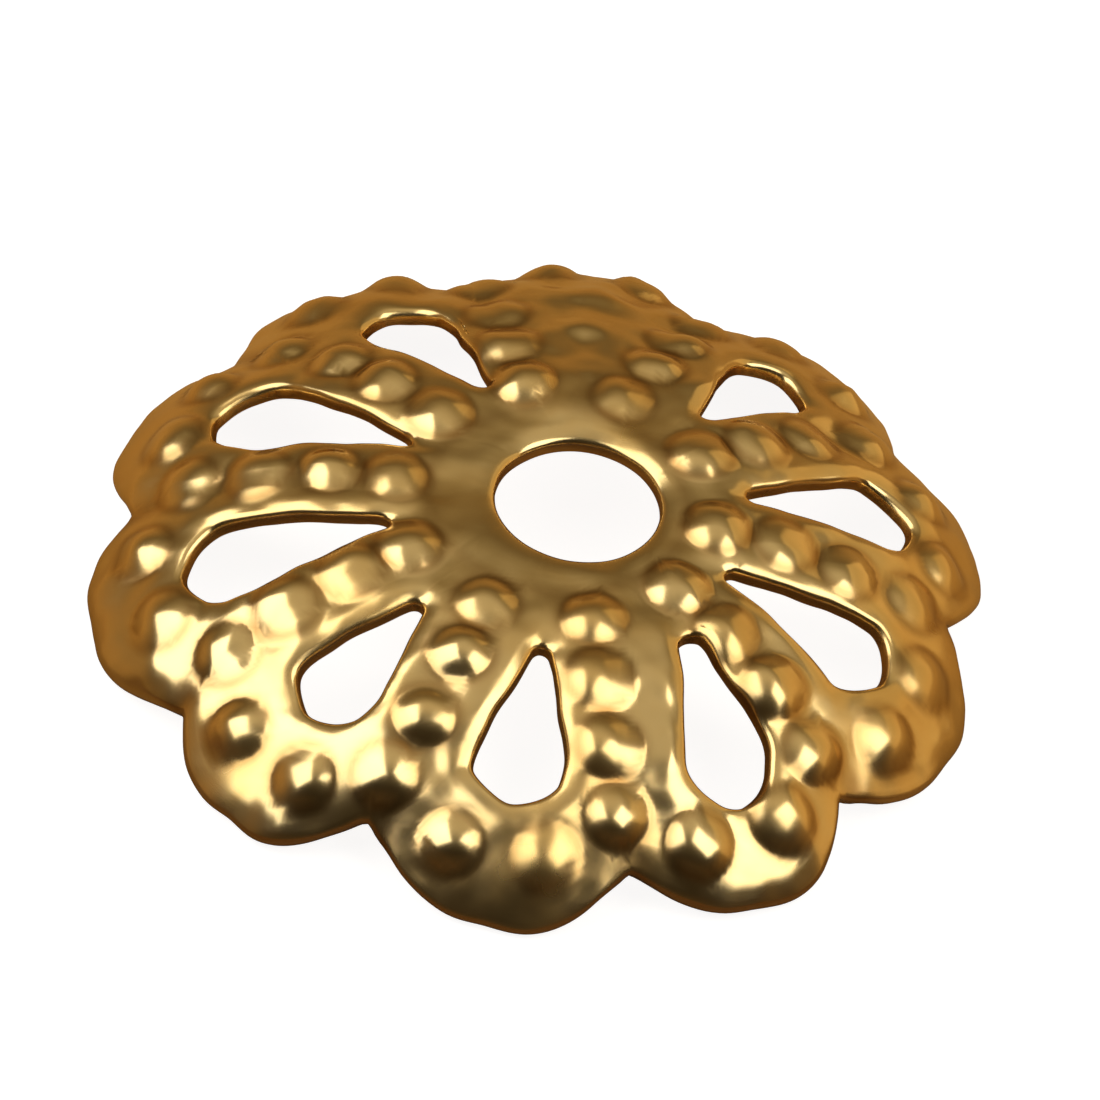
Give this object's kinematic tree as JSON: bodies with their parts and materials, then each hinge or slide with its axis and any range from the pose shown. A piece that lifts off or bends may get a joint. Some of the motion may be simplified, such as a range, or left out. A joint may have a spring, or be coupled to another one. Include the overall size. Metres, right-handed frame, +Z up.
{
  "type": "bead cap",
  "caption": "Shallow domed flower bead cap of stamped sheet brass, with teardrop openings, raised dots, a scalloped rim and a central thread hole.",
  "frame": {"origin": "centre of the plane that the petals' tips rest on, under the thread hole", "axes": "+Z up along the thread hole, out of the dome's outer face; +Y towards the unpierced petal; +X completes the right-handed set"},
  "size_m": [0.0086, 0.009, 0.0016],
  "materials": {
    "cap": "polished gold plate over stamped brass, slightly uneven"
  },
  "bodies": {
    "root": {"cap": "cap"}
  },
  "joints": []
}
